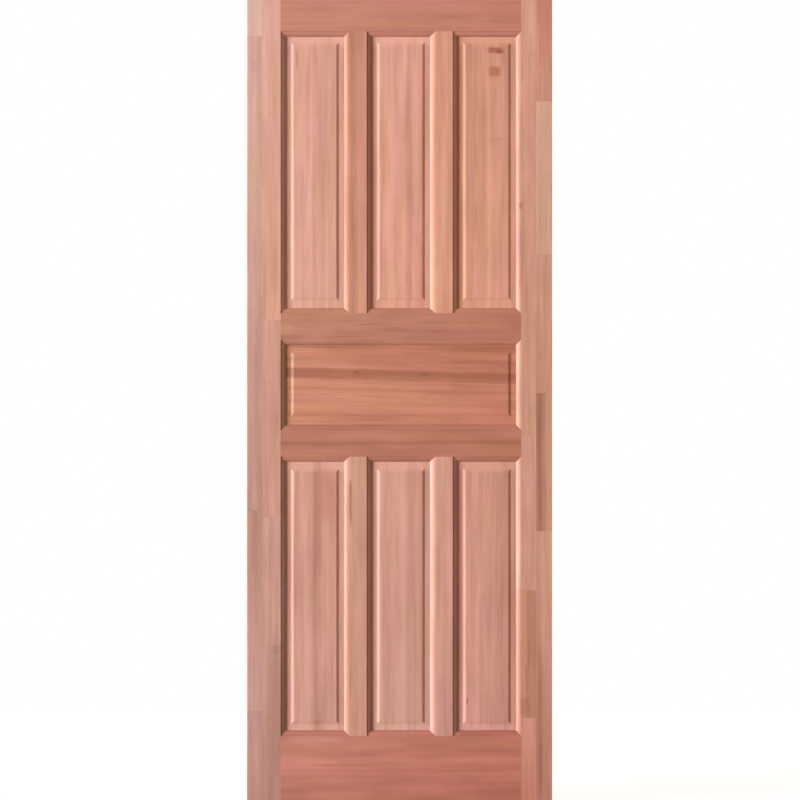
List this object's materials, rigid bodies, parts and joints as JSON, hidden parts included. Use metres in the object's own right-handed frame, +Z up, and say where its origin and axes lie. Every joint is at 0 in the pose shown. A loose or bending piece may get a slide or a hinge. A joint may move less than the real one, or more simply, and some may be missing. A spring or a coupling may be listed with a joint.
{
  "type": "panelled wooden door leaf",
  "caption": "Unhung solid wood door leaf: stiles of finger-jointed strips, coped rails and mullions, raised panels floating in grooves, moulded alike on both faces.",
  "frame": {"origin": "on the hinge edge of the leaf, at its foot, in the middle of its thickness", "axes": "+X from the hinge edge to the lock edge, +Y from the front face to the back face, +Z up"},
  "size_m": [0.8, 0.035, 2.1],
  "materials": {
    "stile_wood": "sanded bare eucalyptus hardwood",
    "rail_wood": "sanded bare eucalyptus hardwood",
    "mullion_wood": "sanded bare eucalyptus hardwood",
    "panel_wood": "sanded bare eucalyptus hardwood"
  },
  "bodies": {
    "root": {"left_stile_outer_block_1": "stile_wood", "left_stile_outer_block_2": "stile_wood", "left_stile_outer_block_3": "stile_wood", "left_stile_outer_block_4": "stile_wood", "left_stile_outer_block_5": "stile_wood", "left_stile_inner_block_1": "stile_wood", "left_stile_inner_block_2": "stile_wood", "left_stile_inner_block_3": "stile_wood", "right_stile_outer_block_1": "stile_wood", "right_stile_outer_block_2": "stile_wood", "right_stile_outer_block_3": "stile_wood", "right_stile_outer_block_4": "stile_wood", "right_stile_outer_block_5": "stile_wood", "right_stile_inner_block_1": "stile_wood", "right_stile_inner_block_2": "stile_wood", "right_stile_inner_block_3": "stile_wood", "right_stile_inner_block_4": "stile_wood", "top_rail": "rail_wood", "upper_lock_rail": "rail_wood", "lower_lock_rail": "rail_wood", "bottom_rail": "rail_wood", "upper_left_mullion": "mullion_wood", "upper_right_mullion": "mullion_wood", "upper_left_panel": "panel_wood", "upper_middle_panel": "panel_wood", "upper_right_panel": "panel_wood", "lower_left_mullion": "mullion_wood", "lower_right_mullion": "mullion_wood", "lower_left_panel": "panel_wood", "lower_middle_panel": "panel_wood", "lower_right_panel": "panel_wood", "wide_panel": "panel_wood"}
  },
  "joints": []
}
